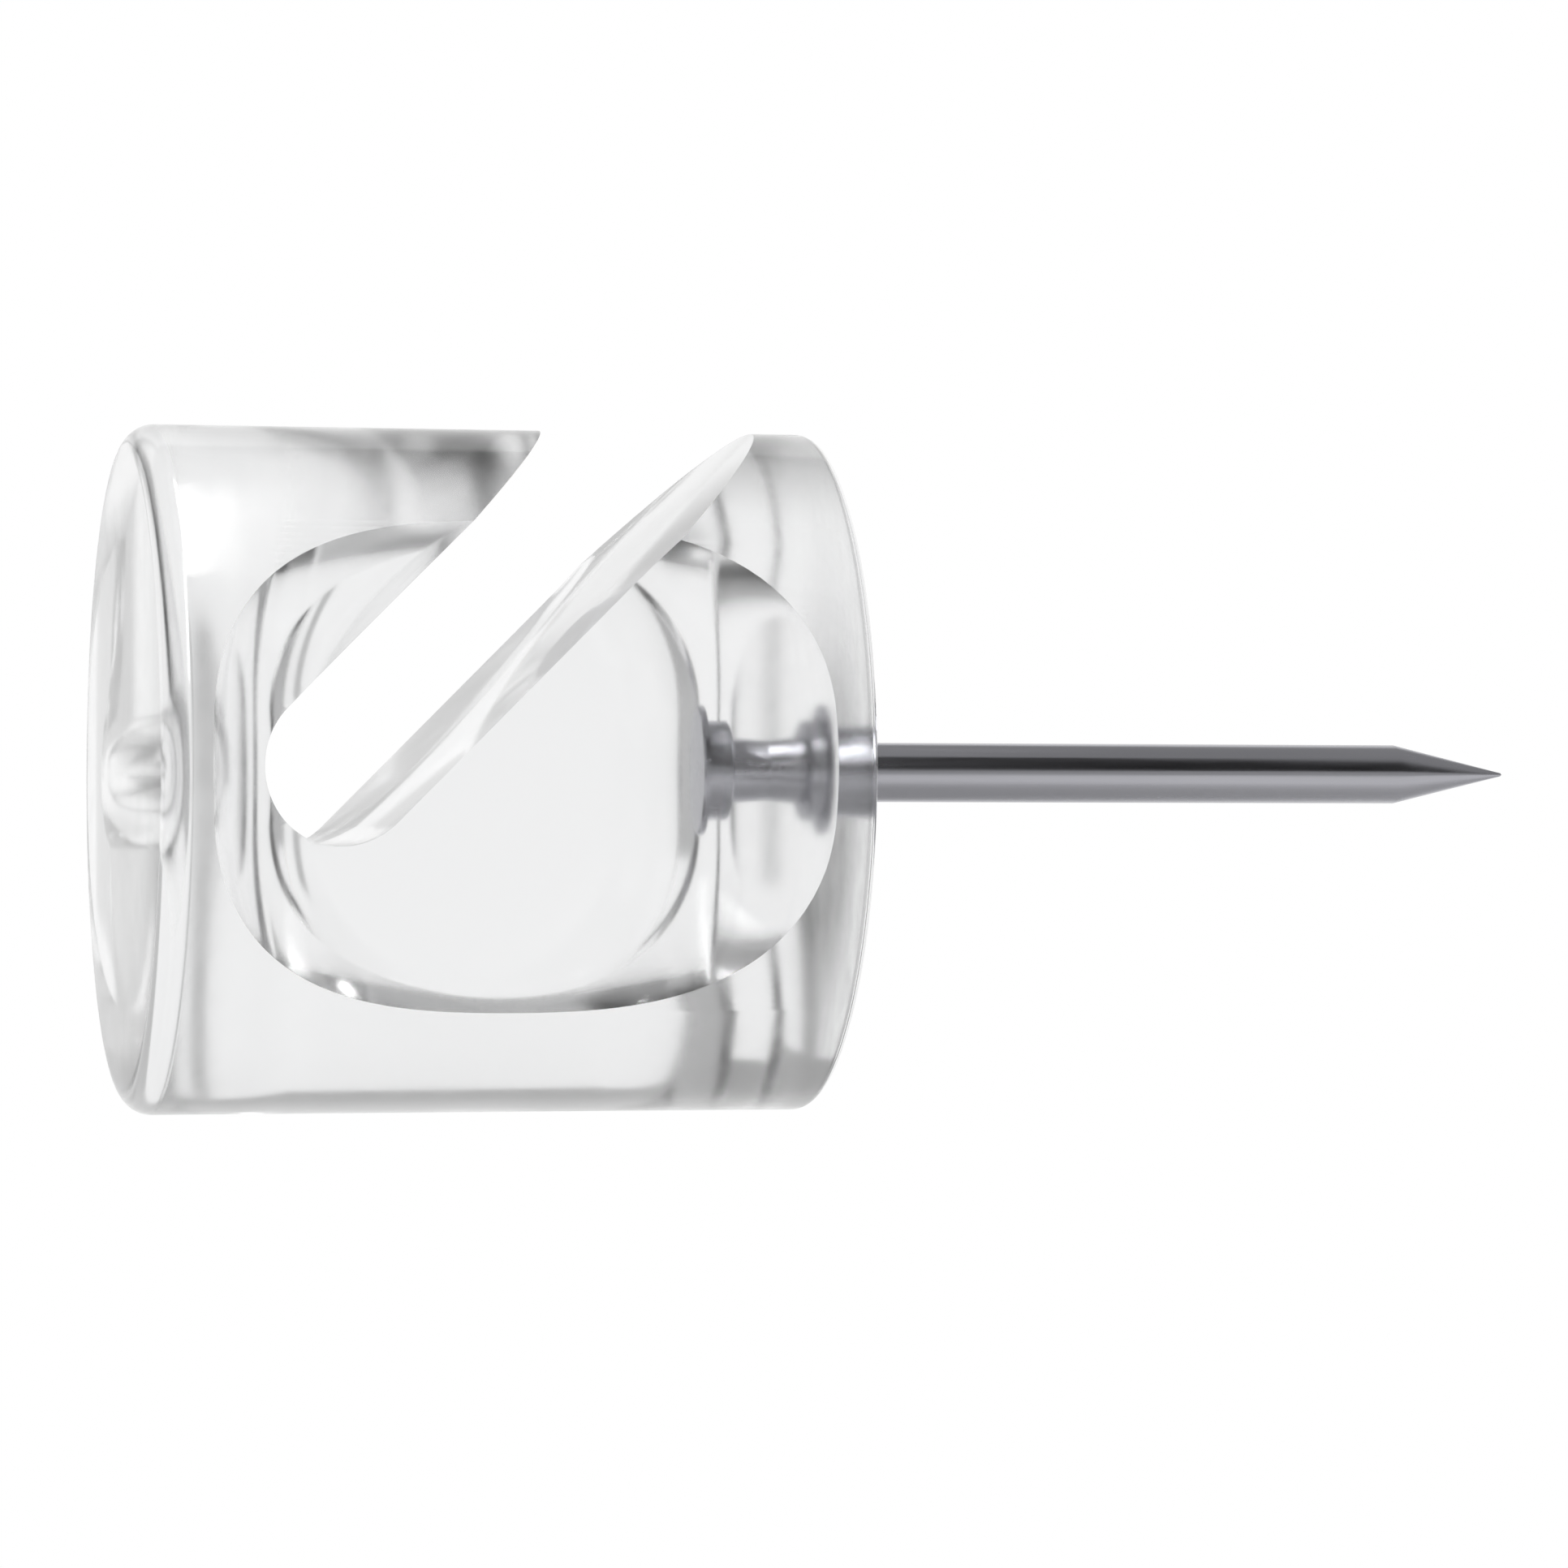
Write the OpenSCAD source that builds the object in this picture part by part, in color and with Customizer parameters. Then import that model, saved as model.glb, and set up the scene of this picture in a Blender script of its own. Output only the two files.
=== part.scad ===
// Picture hanging pin: a clear moulded head with a slanted slot for a frame's wire or hook,
// on a steel nail that is moulded into it.
// The origin is the centre of the head's back, which lies against the wall.
// +Y runs into the wall along the nail, +Z is up and -Y faces the room.

/* [Head] */
// Diameter of the head
head_d = 12; // [10:0.1:16]
// Length of the head, from its front to the wall
head_len = 12.1; // [11.5:0.1:16]
// Radius of the rounded front edge
front_round = 0.5; // [0.2:0.05:1.2]
// Radius of the eased edge at the wall
back_round = 0.2; // [0.1:0.05:0.5]

/* [Slot] */
// Width of the slot, which takes the wire or hook
slot_w = 2.7; // [1.5:0.1:3.2]
// Slope of the slot, down from the wall towards the front
slot_angle = 45; // [38:1:52]
// Front of the head to the centre of the slot's round seat
slot_seat = 3.2; // [2.8:0.1:4]

/* [Finger recesses] */
// Thickness that is left between the two recess floors
grip_t = 8.6; // [6:0.1:9.2]
// Width of a recess's flat floor along the head
recess_w = 5.7; // [5.4:0.1:6]
// Height of a recess's flat floor
recess_h = 7.7; // [7:0.1:8]
// Radius of the hollow that rises from the floor to the round of the head
recess_sweep = 2.6; // [2.2:0.1:2.7]
// Front of the head to the middle of a recess
recess_mid = 6.1; // [5.9:0.1:6.2]

/* [Nail] */
// Diameter of the nail where it stands out of the head
nail_d = 1.06; // [0.9:0.02:1.3]
// Length of nail that stands out of the head, with its point
nail_out = 13.2; // [8:0.1:20]
// Length of the point
point_len = 2.1; // [1:0.1:3]
// Diameter of the flat at the end of the point
tip_d = 0.06; // [0.02:0.02:0.2]
// How much thicker than the nail the neck is at the shoulder, all round; it tapers to the wall
neck_flare = 0.05; // [0.04:0.01:0.12]
// Diameter of the disc that anchors the nail in the head
disc_d = 2.3; // [2:0.05:2.8]
// Thickness of the disc
disc_t = 0.12; // [0.1:0.02:0.3]
// Wall to the front of the disc, which is how deep the nail is moulded in
disc_depth = 1.95; // [1.8:0.05:2.6]
// Diameter of the shoulder behind the disc
shoulder_d = 1.75; // [1.4:0.05:1.9]
// Thickness of the shoulder
shoulder_t = 0.68; // [0.4:0.02:0.9]

/* [Hidden] */
$fn = 96;
// How far a cut runs past the surface that it opens
overrun = 1;
head_r = head_d / 2;
seat_y = slot_seat - head_len;
// Length of the slot's straight walls, from its seat to beyond the top of the head
slot_reach = (head_r + slot_w) / sin(slot_angle);
cut_w = head_d + 2 * overrun;
recess_y = recess_mid - head_len;
recess_floor_half = recess_w / 2;
// The ends of a recess are round, with a straight stretch between them
recess_straight = recess_h - recess_w;
nail_r = nail_d / 2;
neck_r = nail_r + neck_flare;
disc_r = disc_d / 2;
shoulder_r = shoulder_d / 2;
// Stations of the anchor along the nail
disc_front_y = -disc_depth;
disc_back_y = disc_front_y + disc_t;
shoulder_back_y = disc_back_y + shoulder_t;

// Half outline of the head, its two edges rounded
module head_outline() {
    translate([0, -head_len]) square([head_r - front_round, head_len - back_round]);
    translate([0, front_round - head_len]) square([head_r, head_len - front_round - back_round]);
    translate([0, -head_len / 2]) square([head_r - back_round, head_len / 2]);
    translate([head_r - front_round, front_round - head_len]) circle(front_round);
    translate([head_r - back_round, -back_round]) circle(back_round);
}

// The slot's cut through the head from side to side, with its round seat at the bottom
module slot_cut() {
    translate([0, seat_y, 0]) {
        rotate([0, 90, 0]) cylinder(h = cut_w, d = slot_w, center = true);
        rotate([slot_angle, 0, 0])
            translate([-cut_w / 2, 0, -slot_w / 2])
                cube([cut_w, slot_reach, slot_w]);
    }
}

// Half section of a recess's cut: its flat floor, and the hollow that rises beside it
module recess_section() {
    square([recess_floor_half, 2 * recess_sweep]);
    translate([recess_floor_half, recess_sweep]) {
        circle(recess_sweep);
        square(recess_sweep);
    }
}

// The cut of one finger recess, round at its top and bottom
module recess_cut() {
    translate([grip_t / 2, recess_y, 0]) {
        for (end = [-1, 1])
            translate([0, 0, end * recess_straight / 2])
                rotate([0, 90, 0]) rotate_extrude() recess_section();
        translate([0, 0, -recess_straight / 2])
            linear_extrude(recess_straight)
                for (side = [0, 1])
                    mirror([0, side, 0]) rotate(-90) recess_section();
    }
}

// The part of the nail inside the head: disc and shoulder, and the neck that tapers to the wall
module nail_anchor() {
    rotate([-90, 0, 0]) {
        translate([0, 0, disc_front_y]) cylinder(h = disc_t, r = disc_r);
        translate([0, 0, disc_back_y]) cylinder(h = shoulder_t, r = shoulder_r);
        translate([0, 0, shoulder_back_y])
            cylinder(h = -shoulder_back_y, r1 = neck_r, r2 = nail_r);
    }
}

module clear_head() {
    color([0.92, 0.94, 0.96, 0.4])
        difference() {
            rotate([-90, 0, 0]) rotate_extrude() head_outline();
            slot_cut();
            recess_cut();
            mirror([1, 0, 0]) recess_cut();
            nail_anchor();
        }
}

module steel_nail() {
    color([0.62, 0.62, 0.64])
        union() {
            nail_anchor();
            rotate([-90, 0, 0]) {
                cylinder(h = nail_out - point_len, r = nail_r);
                translate([0, 0, nail_out - point_len])
                    cylinder(h = point_len, r1 = nail_r, r2 = tip_d / 2);
            }
        }
}

clear_head();
steel_nail();
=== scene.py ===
"""Looks for a picture hanging pin: a clear plastic head with a slanted slot, moulded on a steel nail."""

import logging
import math
from dataclasses import dataclass, field
from enum import Enum

import bmesh
import bpy
from mathutils import Matrix, Vector


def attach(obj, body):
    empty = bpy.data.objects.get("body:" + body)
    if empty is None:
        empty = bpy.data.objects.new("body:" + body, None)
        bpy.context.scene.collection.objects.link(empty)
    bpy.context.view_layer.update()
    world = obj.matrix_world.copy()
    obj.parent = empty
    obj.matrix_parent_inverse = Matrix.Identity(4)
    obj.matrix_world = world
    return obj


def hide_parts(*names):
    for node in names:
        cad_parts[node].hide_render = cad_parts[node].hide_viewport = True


LOG = logging.getLogger("hanging_pin")
MM = 0.001
# Points nearer than this are one point
WELD = 0.00002 * MM
# Edges that turn by more than this many degrees stay sharp
SHARP_ANGLE = 25

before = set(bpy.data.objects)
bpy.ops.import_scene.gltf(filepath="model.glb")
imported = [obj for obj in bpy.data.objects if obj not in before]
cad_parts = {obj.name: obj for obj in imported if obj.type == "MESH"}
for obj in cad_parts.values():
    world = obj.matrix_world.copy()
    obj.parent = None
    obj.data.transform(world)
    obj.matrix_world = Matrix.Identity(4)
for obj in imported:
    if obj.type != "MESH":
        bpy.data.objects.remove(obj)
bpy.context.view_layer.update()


class Side(Enum):
    """The side of the head that a finger recess is on."""

    PHOTO = 1
    BACK = -1


# Mesh helpers


def add_object(name: str, bm: bmesh.types.BMesh) -> bpy.types.Object:
    """Puts a finished bmesh into the scene as an object.

    Args:
        name: The object's name.
        bm: The mesh, which is freed here.

    Returns:
        The new object, at the origin.
    """
    mesh = bpy.data.meshes.new(name)
    bm.to_mesh(mesh)
    bm.free()
    piece = bpy.data.objects.new(name, mesh)
    bpy.context.scene.collection.objects.link(piece)
    return piece


def sweep_arc(bm: bmesh.types.BMesh, start: bmesh.types.BMVert, centre: Vector, axis: Vector,
              degrees: float, steps: int) -> bmesh.types.BMVert:
    """Draws an arc of edges by turning a vertex about a centre.

    Args:
        bm: The mesh that takes the arc.
        start: The vertex where the arc begins.
        centre: The arc's centre.
        axis: The axis that the vertex turns about.
        degrees: How far it turns.
        steps: The number of edges.

    Returns:
        The vertex at the arc's end.
    """
    turned = bmesh.ops.spin(bm, geom=[start], cent=centre, axis=axis, angle=math.radians(degrees), steps=steps,
                            use_merge=False, use_duplicate=False)
    return [item for item in turned["geom_last"] if isinstance(item, bmesh.types.BMVert)][0]


def draw_line(bm: bmesh.types.BMesh, start: bmesh.types.BMVert, move: Vector) -> bmesh.types.BMVert:
    """Draws one straight edge by extruding a vertex.

    Args:
        bm: The mesh that takes the edge.
        start: The vertex where the edge begins.
        move: From there to the edge's end.

    Returns:
        The vertex at the edge's end.
    """
    drawn = bmesh.ops.extrude_vert_indiv(bm, verts=[start])
    bmesh.ops.translate(bm, verts=drawn["verts"], vec=move)
    return drawn["verts"][0]


def spin_solid(name: str, bm: bmesh.types.BMesh, segments: int) -> bpy.types.Object:
    """Spins an outline drawn in the XY plane about the nail axis, Y.

    Args:
        name: The new object's name.
        bm: The outline, from axis to axis.
        segments: Faces round the axis.

    Returns:
        The closed solid.
    """
    bmesh.ops.spin(bm, geom=bm.verts[:] + bm.edges[:], cent=(0, 0, 0), axis=(0, 1, 0), angle=2 * math.pi,
                   steps=segments, use_merge=True)
    bmesh.ops.remove_doubles(bm, verts=bm.verts[:], dist=WELD)
    bmesh.ops.recalc_face_normals(bm, faces=bm.faces[:])
    return add_object(name, bm)


def raise_solid(bm: bmesh.types.BMesh, move: Vector) -> None:
    """Fills a closed outline and extrudes it into a solid.

    Args:
        bm: The outline.
        move: From the outline to the solid's far end.
    """
    bmesh.ops.remove_doubles(bm, verts=bm.verts[:], dist=WELD)
    bmesh.ops.contextual_create(bm, geom=bm.edges[:])
    raised = bmesh.ops.extrude_face_region(bm, geom=bm.faces[:])["geom"]
    bmesh.ops.translate(bm, verts=[item for item in raised if isinstance(item, bmesh.types.BMVert)], vec=move)
    bmesh.ops.recalc_face_normals(bm, faces=bm.faces[:])


def cut_with(piece: bpy.types.Object, tool: bpy.types.Object) -> None:
    """Cuts one solid with another, which is then removed.

    Args:
        piece: The solid that is cut.
        tool: The solid that cuts it.
    """
    step = piece.modifiers.new("shape", "BOOLEAN")
    step.object = tool
    step.operation = "DIFFERENCE"
    step.solver = "EXACT"
    seen = piece.evaluated_get(bpy.context.evaluated_depsgraph_get())
    shaped = bpy.data.meshes.new_from_object(seen)
    piece.modifiers.clear()
    old = piece.data
    piece.data = shaped
    shaped.name = piece.name
    bpy.data.meshes.remove(old)
    bpy.data.objects.remove(tool)


def smooth_by_angle(piece: bpy.types.Object, degrees: float) -> None:
    """Shades a piece smooth, with its edges above an angle kept sharp.

    Args:
        piece: The piece.
        degrees: The angle.
    """
    for face in piece.data.polygons:
        face.use_smooth = True
    piece.data.set_sharp_from_angle(angle=math.radians(degrees))


# Camera


@dataclass(frozen=True)
class PhotoCamera:
    """The camera that took the photograph, fitted to the object's own edges."""

    frame_px: float = 1932.0
    focal_px: float = 7421.0
    sensor_mm: float = 36.0
    yaw: float = 0.2253
    pitch: float = -0.0140
    roll: float = -0.0001
    clip_near: float = 0.001
    clip_far: float = 100.0
    offset: Vector = field(default_factory=lambda: Vector((0.2793, 0.2118, -107.3925)))

    def place(self) -> bpy.types.Object:
        """Makes the camera and gives it to the scene.

        Returns:
            The camera.
        """
        lens = bpy.data.cameras.new("photo_camera")
        lens.sensor_width = self.sensor_mm
        lens.lens = self.focal_px / self.frame_px * self.sensor_mm
        lens.clip_start, lens.clip_end = self.clip_near, self.clip_far
        camera = bpy.data.objects.new("photo_camera", lens)
        bpy.context.scene.collection.objects.link(camera)
        side_on = Matrix(((0, 1, 0), (0, 0, 1), (1, 0, 0)))
        turn = (Matrix.Rotation(self.roll, 3, "Z") @ Matrix.Rotation(self.pitch, 3, "X")
                @ Matrix.Rotation(self.yaw, 3, "Y"))
        to_camera = turn @ side_on
        pose = to_camera.transposed().to_4x4()
        pose.translation = -(to_camera.transposed() @ self.offset) * MM
        camera.matrix_world = pose
        bpy.context.scene.camera = camera
        return camera


# Finishes


class NodeSheet:
    """A material's node tree, with short calls for the nodes that the finishes share."""

    def __init__(self, name: str) -> None:
        """Starts an empty material.

        Args:
            name: The material's name.
        """
        self.material = bpy.data.materials.new(name)
        self.material.use_nodes = True
        self.tree = self.material.node_tree
        self.tree.nodes.clear()
        self.output = self.tree.nodes.new("ShaderNodeOutputMaterial")

    def add(self, kind: str, **values: object) -> bpy.types.Node:
        """Adds a node and sets its sockets or properties by name.

        Args:
            kind: The node's type.
            values: Properties of the node, or sockets with spaces written as underscores.

        Returns:
            The node.
        """
        node = self.tree.nodes.new(kind)
        for key, value in values.items():
            if key in node.bl_rna.properties.keys():
                setattr(node, key, value)
            else:
                node.inputs[key.replace("_", " ")].default_value = value
        return node

    def wire(self, source: bpy.types.NodeSocket, target: bpy.types.NodeSocket) -> None:
        """Links one socket to another.

        Args:
            source: The socket that gives the value.
            target: The socket that takes it.
        """
        self.tree.links.new(source, target)


def fine_wear_group() -> bpy.types.NodeTree:
    """Builds the group of fine surface wear that the plastic and the steel share.

    Returns:
        The group, whose inputs are Position, Scale and Low, High, and whose outputs are Height and Roughness.
    """
    known = bpy.data.node_groups.get("fine_wear")
    if known:
        return known
    tree = bpy.data.node_groups.new("fine_wear", "ShaderNodeTree")
    tree.interface.new_socket("Position", in_out="INPUT", socket_type="NodeSocketVector")
    scale = tree.interface.new_socket("Scale", in_out="INPUT", socket_type="NodeSocketFloat")
    low = tree.interface.new_socket("Low", in_out="INPUT", socket_type="NodeSocketFloat")
    high = tree.interface.new_socket("High", in_out="INPUT", socket_type="NodeSocketFloat")
    scale.default_value, low.default_value, high.default_value = 1000.0, 0.1, 0.2
    tree.interface.new_socket("Height", in_out="OUTPUT", socket_type="NodeSocketFloat")
    tree.interface.new_socket("Roughness", in_out="OUTPUT", socket_type="NodeSocketFloat")
    inside = tree.nodes.new("NodeGroupInput")
    outside = tree.nodes.new("NodeGroupOutput")
    grain = tree.nodes.new("ShaderNodeTexNoise")
    grain.inputs["Detail"].default_value = 6.0
    grain.inputs["Roughness"].default_value = 0.6
    spread = tree.nodes.new("ShaderNodeMapRange")
    spread.inputs["From Min"].default_value = 0.3
    spread.inputs["From Max"].default_value = 0.7
    links = tree.links
    links.new(inside.outputs["Position"], grain.inputs["Vector"])
    links.new(inside.outputs["Scale"], grain.inputs["Scale"])
    links.new(grain.outputs["Fac"], spread.inputs["Value"])
    links.new(inside.outputs["Low"], spread.inputs["To Min"])
    links.new(inside.outputs["High"], spread.inputs["To Max"])
    links.new(spread.outputs["Result"], outside.inputs["Roughness"])
    links.new(grain.outputs["Fac"], outside.inputs["Height"])
    return tree


@dataclass(frozen=True)
class ClearPlastic:
    """Clear acrylic, polished, with the faint haze that softens what is seen through it."""

    tint: tuple[float, float, float, float] = (0.90, 0.903, 0.906, 1.0)
    refraction: float = 1.49
    haze_low: float = 0.10
    haze_high: float = 0.15
    grain_scale: float = 1400.0

    def make(self) -> bpy.types.Material:
        """Builds the material.

        Returns:
            The material.
        """
        sheet = NodeSheet("clear_acrylic")
        shader = sheet.add("ShaderNodeBsdfPrincipled", Base_Color=self.tint, IOR=self.refraction,
                           Transmission_Weight=1.0)
        place = sheet.add("ShaderNodeTexCoord")
        wear = sheet.add("ShaderNodeGroup", node_tree=fine_wear_group())
        wear.inputs["Scale"].default_value = self.grain_scale
        wear.inputs["Low"].default_value = self.haze_low
        wear.inputs["High"].default_value = self.haze_high
        sheet.wire(place.outputs["Object"], wear.inputs["Position"])
        sheet.wire(wear.outputs["Roughness"], shader.inputs["Roughness"])
        sheet.wire(shader.outputs[0], sheet.output.inputs["Surface"])
        return sheet.material


@dataclass(frozen=True)
class DrawnSteel:
    """Bright drawn nail wire, with fine lines along it."""

    tint: tuple[float, float, float, float] = (0.42, 0.42, 0.45, 1.0)
    shine_low: float = 0.16
    shine_high: float = 0.30
    line_scale: float = 2600.0
    line_stretch: float = 0.04
    line_depth: float = 0.000004
    line_strength: float = 0.35

    def make(self) -> bpy.types.Material:
        """Builds the material.

        Returns:
            The material.
        """
        sheet = NodeSheet("drawn_steel")
        shader = sheet.add("ShaderNodeBsdfPrincipled", Base_Color=self.tint, Metallic=1.0)
        place = sheet.add("ShaderNodeTexCoord")
        along = sheet.add("ShaderNodeMapping")
        along.inputs["Scale"].default_value = (1.0, self.line_stretch, 1.0)
        wear = sheet.add("ShaderNodeGroup", node_tree=fine_wear_group())
        wear.inputs["Scale"].default_value = self.line_scale
        wear.inputs["Low"].default_value = self.shine_low
        wear.inputs["High"].default_value = self.shine_high
        bump = sheet.add("ShaderNodeBump", Strength=self.line_strength, Distance=self.line_depth)
        sheet.wire(place.outputs["Object"], along.inputs["Vector"])
        sheet.wire(along.outputs["Vector"], wear.inputs["Position"])
        sheet.wire(wear.outputs["Roughness"], shader.inputs["Roughness"])
        sheet.wire(wear.outputs["Height"], bump.inputs["Height"])
        sheet.wire(bump.outputs["Normal"], shader.inputs["Normal"])
        sheet.wire(shader.outputs[0], sheet.output.inputs["Surface"])
        return sheet.material


@dataclass(frozen=True)
class StagePaint:
    """Matt paint of the floor or backdrop, shown white to the rays that look at a background; inside a pool radius
    metal and glass see its own matt shade instead, which on the table is a painted shade pool round the pin.
    """

    name: str
    shade: float
    pool_radius: float = 0.0
    pool_edge: float = 0.04

    def make(self) -> bpy.types.Material:
        """Builds the material.

        Returns:
            The material, which metal and glass see in its own shade inside the pool radius and white outside it.
        """
        sheet = NodeSheet(self.name)
        matt = sheet.add("ShaderNodeBsdfDiffuse", Color=(self.shade, self.shade, self.shade, 1.0))
        plain = sheet.add("ShaderNodeEmission", Color=(1.0, 1.0, 1.0, 1.0), Strength=1.0)
        path = sheet.add("ShaderNodeLightPath")
        mixer = sheet.add("ShaderNodeMixShader")
        mirrored = sheet.add("ShaderNodeMath", operation="MAXIMUM")
        sheet.wire(path.outputs["Is Glossy Ray"], mirrored.inputs[0])
        sheet.wire(path.outputs["Is Transmission Ray"], mirrored.inputs[1])
        # Distance from the pin: inside the pool radius metal and glass see the matt shade, outside it white, so a
        # small radius paints a shade pool
        place = sheet.add("ShaderNodeTexCoord")
        away = sheet.add("ShaderNodeVectorMath", operation="LENGTH")
        outside = sheet.add("ShaderNodeMapRange", interpolation_type="SMOOTHSTEP")
        outside.inputs["From Min"].default_value = self.pool_radius - self.pool_edge
        outside.inputs["From Max"].default_value = self.pool_radius
        bright = sheet.add("ShaderNodeMath", operation="MULTIPLY")
        seen = sheet.add("ShaderNodeMath", operation="MAXIMUM")
        sheet.wire(place.outputs["Object"], away.inputs[0])
        sheet.wire(away.outputs["Value"], outside.inputs["Value"])
        sheet.wire(mirrored.outputs[0], bright.inputs[0])
        sheet.wire(outside.outputs["Result"], bright.inputs[1])
        sheet.wire(bright.outputs[0], seen.inputs[0])
        sheet.wire(path.outputs["Is Camera Ray"], seen.inputs[1])
        sheet.wire(seen.outputs[0], mixer.inputs["Fac"])
        sheet.wire(matt.outputs[0], mixer.inputs[1])
        sheet.wire(plain.outputs[0], mixer.inputs[2])
        sheet.wire(mixer.outputs[0], sheet.output.inputs["Surface"])
        return sheet.material


# The pin


@dataclass
class ClearHead:
    """The clear head: a cylinder with a slanted slot across it and a finger recess on each side."""

    diameter: float = 12.0
    length: float = 12.1
    front_round: float = 0.5
    back_round: float = 0.2
    slot_width: float = 2.7
    slot_angle: float = 45.0
    slot_seat: float = 3.2
    slot_reach: float = 14.0
    grip: float = 8.6
    recess_width: float = 5.7
    recess_height: float = 7.7
    recess_sweep: float = 2.6
    recess_middle: float = 6.1
    segments: int = 256
    front_steps: int = 10
    back_steps: int = 6
    hollow_steps: int = 24
    half_turn_steps: int = 64

    def outline(self) -> bmesh.types.BMesh:
        """Draws the head's half section, from the front centre to the back centre.

        Returns:
            The outline.
        """
        bm = bmesh.new()
        radius = self.diameter / 2
        out, back = Vector((1, 0, 0)), Vector((0, 1, 0))
        tip = bm.verts.new((0, -self.length * MM, 0))
        tip = draw_line(bm, tip, out * (radius - self.front_round) * MM)
        centre = tip.co + back * self.front_round * MM
        tip = sweep_arc(bm, tip, centre, Vector((0, 0, 1)), 90, self.front_steps)
        tip = draw_line(bm, tip, back * (self.length - self.front_round - self.back_round) * MM)
        centre = tip.co - out * self.back_round * MM
        tip = sweep_arc(bm, tip, centre, Vector((0, 0, 1)), 90, self.back_steps)
        draw_line(bm, tip, -out * (radius - self.back_round) * MM)
        return bm

    def slot_tool(self) -> bpy.types.Object:
        """Makes the solid that cuts the slot, round at its seat.

        Returns:
            The cutter.
        """
        bm = bmesh.new()
        half = self.slot_width / 2 * MM
        across = self.diameter * MM
        reach = Vector((0, self.slot_reach * MM, 0))
        upper = bm.verts.new((-across, 0, half))
        lower = sweep_arc(bm, upper, Vector((-across, 0, 0)), Vector((1, 0, 0)), 180, self.half_turn_steps)
        draw_line(bm, upper, reach)
        draw_line(bm, lower, reach)
        raise_solid(bm, Vector((2 * across, 0, 0)))
        turn = Matrix.Rotation(math.radians(self.slot_angle), 4, "X")
        seat = Matrix.Translation((0, (self.slot_seat - self.length) * MM, 0))
        bmesh.ops.transform(bm, matrix=seat @ turn, verts=bm.verts[:])
        return add_object("slot_tool", bm)

    def recess_tool(self, side: Side) -> bpy.types.Object:
        """Makes the solid that cuts a finger recess: a flat floor with a hollow rising all round it.

        Args:
            side: The side of the head.

        Returns:
            The cutter, whose sections up the side are the same outline, spun at both its ends.
        """
        floor_half, sweep = self.recess_width / 2, self.recess_sweep
        lift = (self.recess_height - self.recess_width) / 2
        middle = Vector((self.grip / 2, self.recess_middle - self.length, 0)) * MM
        up, out = Vector((0, 0, 1)), Vector((1, 0, 0))
        bm = bmesh.new()
        tip = bm.verts.new(middle + up * lift * MM)
        tip = draw_line(bm, tip, Vector((0, floor_half * MM, 0)))
        tip = sweep_arc(bm, tip, tip.co + out * sweep * MM, -up, 90, self.hollow_steps)
        tip = draw_line(bm, tip, out * sweep * MM)
        draw_line(bm, tip, Vector((0, -(floor_half + sweep) * MM, 0)))
        section = bm.verts[:] + bm.edges[:]
        for end in (1, -1):
            turned = bmesh.ops.spin(bm, geom=section, cent=middle + up * end * lift * MM, axis=out, angle=math.pi,
                                    steps=self.half_turn_steps, use_merge=False, use_duplicate=False)
            rim = [item for item in turned["geom_last"] if isinstance(item, bmesh.types.BMEdge)]
            moved = bmesh.ops.extrude_edge_only(bm, edges=rim)["geom"]
            section = [item for item in moved if not isinstance(item, bmesh.types.BMFace)]
            bmesh.ops.translate(bm, verts=[item for item in section if isinstance(item, bmesh.types.BMVert)],
                                vec=-up * 2 * end * lift * MM)
        bmesh.ops.remove_doubles(bm, verts=bm.verts[:], dist=WELD)
        if side is Side.BACK:
            bmesh.ops.scale(bm, vec=(-1, 1, 1), verts=bm.verts[:])
        bmesh.ops.recalc_face_normals(bm, faces=bm.faces[:])
        return add_object("recess_tool", bm)

    def build(self, finish: ClearPlastic) -> bpy.types.Object:
        """Builds and dresses the head.

        Args:
            finish: What it is made of.

        Returns:
            The head.
        """
        head = spin_solid("clear_head_body", self.outline(), self.segments)
        cut_with(head, self.slot_tool())
        for side in Side:
            cut_with(head, self.recess_tool(side))
        smooth_by_angle(head, SHARP_ANGLE)
        head.data.materials.append(finish.make())
        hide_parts("clear_head")
        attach(head, "root")
        LOG.info("head: %d faces", len(head.data.polygons))
        return head


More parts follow.
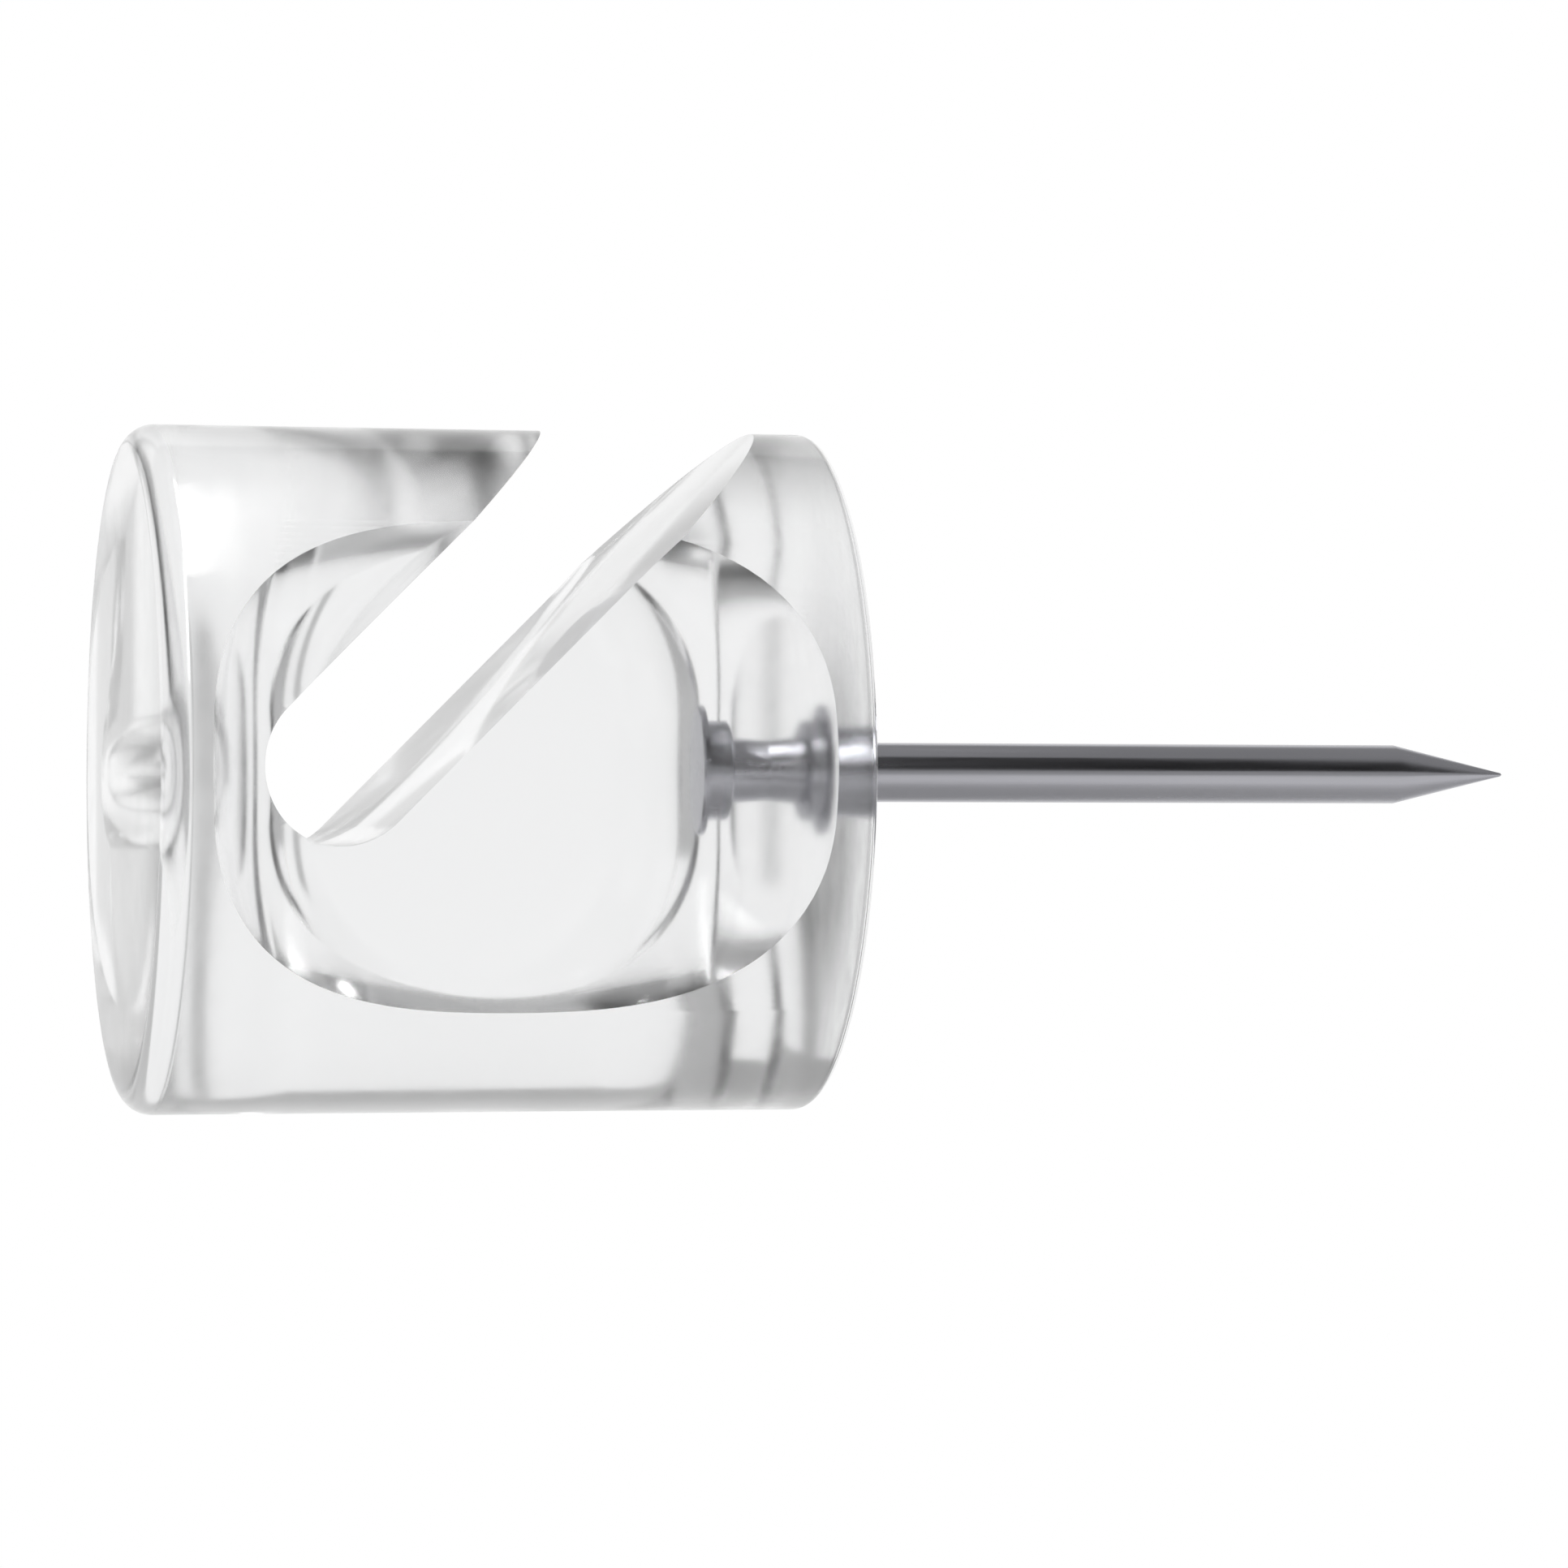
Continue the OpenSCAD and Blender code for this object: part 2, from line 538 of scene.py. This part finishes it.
@dataclass
class SteelNail:
    """The steel nail: a pointed shank with a shoulder and a flat disc inside the head."""

    diameter: float = 1.06
    out: float = 13.2
    point: float = 2.1
    tip_diameter: float = 0.06
    disc_diameter: float = 2.3
    disc_thick: float = 0.16
    disc_front: float = 2.0
    disc_bevel: float = 0.05
    shoulder_diameter: float = 1.75
    shoulder_back: float = 1.15
    neck_diameter: float = 1.16
    segments: int = 96

    def outline(self) -> bmesh.types.BMesh:
        """Draws the nail's half section, from the disc's centre to the point.

        Returns:
            The outline.
        """
        bm = bmesh.new()
        out, back = Vector((1, 0, 0)), Vector((0, 1, 0))
        disc_r, shoulder_r, shank_r = self.disc_diameter / 2, self.shoulder_diameter / 2, self.diameter / 2
        tip_r, neck_r = self.tip_diameter / 2, self.neck_diameter / 2
        soft = self.disc_bevel
        disc_back = self.disc_front - self.disc_thick
        tip = bm.verts.new((0, -self.disc_front * MM, 0))
        tip = draw_line(bm, tip, out * (disc_r - soft) * MM)
        tip = draw_line(bm, tip, (out + back) * soft * MM)
        tip = draw_line(bm, tip, back * (self.disc_thick - soft) * MM)
        tip = draw_line(bm, tip, out * (shoulder_r - disc_r) * MM)
        tip = draw_line(bm, tip, back * (disc_back - self.shoulder_back - soft) * MM)
        tip = draw_line(bm, tip, (back - out) * soft * MM)
        tip = draw_line(bm, tip, out * (neck_r - shoulder_r + soft) * MM)
        tip = draw_line(bm, tip, (out * (shank_r - neck_r) + back * self.shoulder_back) * MM)
        tip = draw_line(bm, tip, back * (self.out - self.point) * MM)
        tip = draw_line(bm, tip, out * (tip_r - shank_r) * MM + back * (self.point - tip_r) * MM)
        draw_line(bm, tip, (back - out) * tip_r * MM)
        return bm

    def build(self, finish: DrawnSteel) -> bpy.types.Object:
        """Builds and dresses the nail.

        Args:
            finish: What it is made of.

        Returns:
            The nail.
        """
        nail = spin_solid("steel_nail_body", self.outline(), self.segments)
        smooth_by_angle(nail, SHARP_ANGLE)
        nail.data.materials.append(finish.make())
        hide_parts("steel_nail")
        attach(nail, "root")
        LOG.info("nail: %d faces", len(nail.data.polygons))
        return nail


# The studio


@dataclass(frozen=True)
class StripLamp:
    """A soft rectangular lamp that faces the pin."""

    name: str
    place: tuple[float, float, float]
    size: tuple[float, float]
    watts: float

    def hang(self) -> None:
        """Puts the lamp into the scene, turned to the origin."""
        light = bpy.data.lights.new(self.name, "AREA")
        light.shape = "RECTANGLE"
        light.size, light.size_y = self.size
        light.energy = self.watts
        lamp = bpy.data.objects.new(self.name, light)
        bpy.context.scene.collection.objects.link(lamp)
        place = Vector(self.place)
        lamp.matrix_world = Matrix.Translation(place) @ place.to_track_quat("Z", "Y").to_matrix().to_4x4()


@dataclass
class Studio:
    """A pale table top, which metal and glass see with a painted shade pool under the pin and white beyond it, a
    white backdrop and side card behind it, a dark flag above the camera and a pale room.
    """

    table_drop: float = 0.050
    table_half: float = 0.33
    table_shade: float = 0.62
    # Painted shade pool: within this distance of the pin metal and glass see the table's grey, beyond it white
    table_painted_shade_radius: float = 0.10
    table_painted_shade_edge: float = 0.05
    backdrop_far: float = 0.35
    backdrop_low: float = -0.30
    backdrop_high: float = 0.35
    backdrop_half: float = 0.25
    backdrop_shift: float = 0.17
    backdrop_shade: float = 0.9
    card_half: float = 0.14
    card_shift: float = -0.26
    flag_near: float = 0.6
    flag_low: float = 0.10
    flag_high: float = 1.2
    flag_half: float = 0.6
    flag_shade: float = 0.03
    room_shades: tuple[tuple[float, float], ...] = (
        (-1.0, 0.5), (-0.03, 0.5), (0.05, 0.55), (0.2, 0.5), (1.0, 0.35))
    lamps: tuple[StripLamp, ...] = (
        StripLamp("strip_lamp_near", (0.25, -0.05, 0.30), (0.02, 0.30), 0.6),
        StripLamp("strip_lamp_top", (0.02, 0.0, 0.40), (0.03, 0.30), 0.6))

    def plane(self, name: str, size: tuple[float, float], pose: Matrix, paint: StagePaint) -> bpy.types.Object:
        """Makes one flat sheet of the stage.

        Args:
            name: Its name.
            size: Its width and height, in metres.
            pose: Where it stands.
            paint: Its paint.

        Returns:
            The sheet.
        """
        bm = bmesh.new()
        bmesh.ops.create_grid(bm, x_segments=1, y_segments=1, size=0.5)
        bmesh.ops.scale(bm, vec=(size[0], size[1], 1), verts=bm.verts[:])
        bmesh.ops.transform(bm, matrix=pose, verts=bm.verts[:])
        sheet = add_object(name, bm)
        sheet.data.materials.append(paint.make())
        return sheet

    def room(self) -> None:
        """Lights the scene from the room: pale below and at eye level, a little dimmer above, white to the camera."""
        world = bpy.data.worlds.new("room")
        bpy.context.scene.world = world
        world.use_nodes = True
        tree = world.node_tree
        tree.nodes.clear()
        output = tree.nodes.new("ShaderNodeOutputWorld")
        room = tree.nodes.new("ShaderNodeBackground")
        white = tree.nodes.new("ShaderNodeBackground")
        white.inputs["Color"].default_value = (1, 1, 1, 1)
        path = tree.nodes.new("ShaderNodeLightPath")
        mixer = tree.nodes.new("ShaderNodeMixShader")
        place = tree.nodes.new("ShaderNodeTexCoord")
        axes = tree.nodes.new("ShaderNodeSeparateXYZ")
        height = tree.nodes.new("ShaderNodeMapRange")
        height.inputs["From Min"].default_value = -1.0
        shades = tree.nodes.new("ShaderNodeValToRGB")
        stops = shades.color_ramp.elements
        for spot, (level, shade) in enumerate(self.room_shades):
            stop = stops[spot] if spot < 2 else stops.new(1.0)
            stop.position = (level + 1) / 2
            stop.color = (shade, shade, shade, 1.0)
        tree.links.new(place.outputs["Generated"], axes.inputs[0])
        tree.links.new(axes.outputs["Z"], height.inputs["Value"])
        tree.links.new(height.outputs["Result"], shades.inputs["Fac"])
        tree.links.new(shades.outputs["Color"], room.inputs["Color"])
        tree.links.new(path.outputs["Is Camera Ray"], mixer.inputs["Fac"])
        tree.links.new(room.outputs[0], mixer.inputs[1])
        tree.links.new(white.outputs[0], mixer.inputs[2])
        tree.links.new(mixer.outputs[0], output.inputs["Surface"])

    def build(self) -> None:
        """Sets the stage and the lights."""
        # Painted shade pool on the table: grey to metal and glass near the pin, white further out
        table = StagePaint("table_paint", self.table_shade, self.table_painted_shade_radius, self.table_painted_shade_edge)
        white = StagePaint("backdrop_paint", self.backdrop_shade)
        side = 2 * self.table_half
        self.plane("table_top", (side, side), Matrix.Translation((0, 0, -self.table_drop)), table)
        tall = self.backdrop_high - self.backdrop_low
        middle = Vector((-self.backdrop_far, self.backdrop_shift, (self.backdrop_high + self.backdrop_low) / 2))
        stand = Matrix.Translation(middle) @ Matrix.Rotation(math.radians(90), 4, "Y")
        self.plane("backdrop", (tall, 2 * self.backdrop_half), stand, white)
        middle.y = self.card_shift
        stand = Matrix.Translation(middle) @ Matrix.Rotation(math.radians(90), 4, "Y")
        self.plane("side_card", (tall, 2 * self.card_half), stand, white)
        dark = StagePaint("flag_paint", self.flag_shade, 2 * self.flag_high)
        middle = Vector((self.flag_near, 0, (self.flag_high + self.flag_low) / 2))
        stand = Matrix.Translation(middle) @ Matrix.Rotation(math.radians(-90), 4, "Y")
        self.plane("dark_flag", (self.flag_high - self.flag_low, 2 * self.flag_half), stand, dark)
        self.room()
        for lamp in self.lamps:
            lamp.hang()


def main() -> None:
    """Builds the camera, the pin and the studio in order."""
    logging.basicConfig(level=logging.INFO, format="%(name)s %(message)s")
    bpy.context.scene.view_settings.view_transform = "Standard"
    camera = PhotoCamera().place()
    LOG.info("camera: %.1f mm lens", camera.data.lens)
    head = ClearHead().build(ClearPlastic())
    nail = SteelNail().build(DrawnSteel())
    Studio().build()
    LOG.info("pieces: %s, %s", head.name, nail.name)


if __name__ == "__main__":
    main()
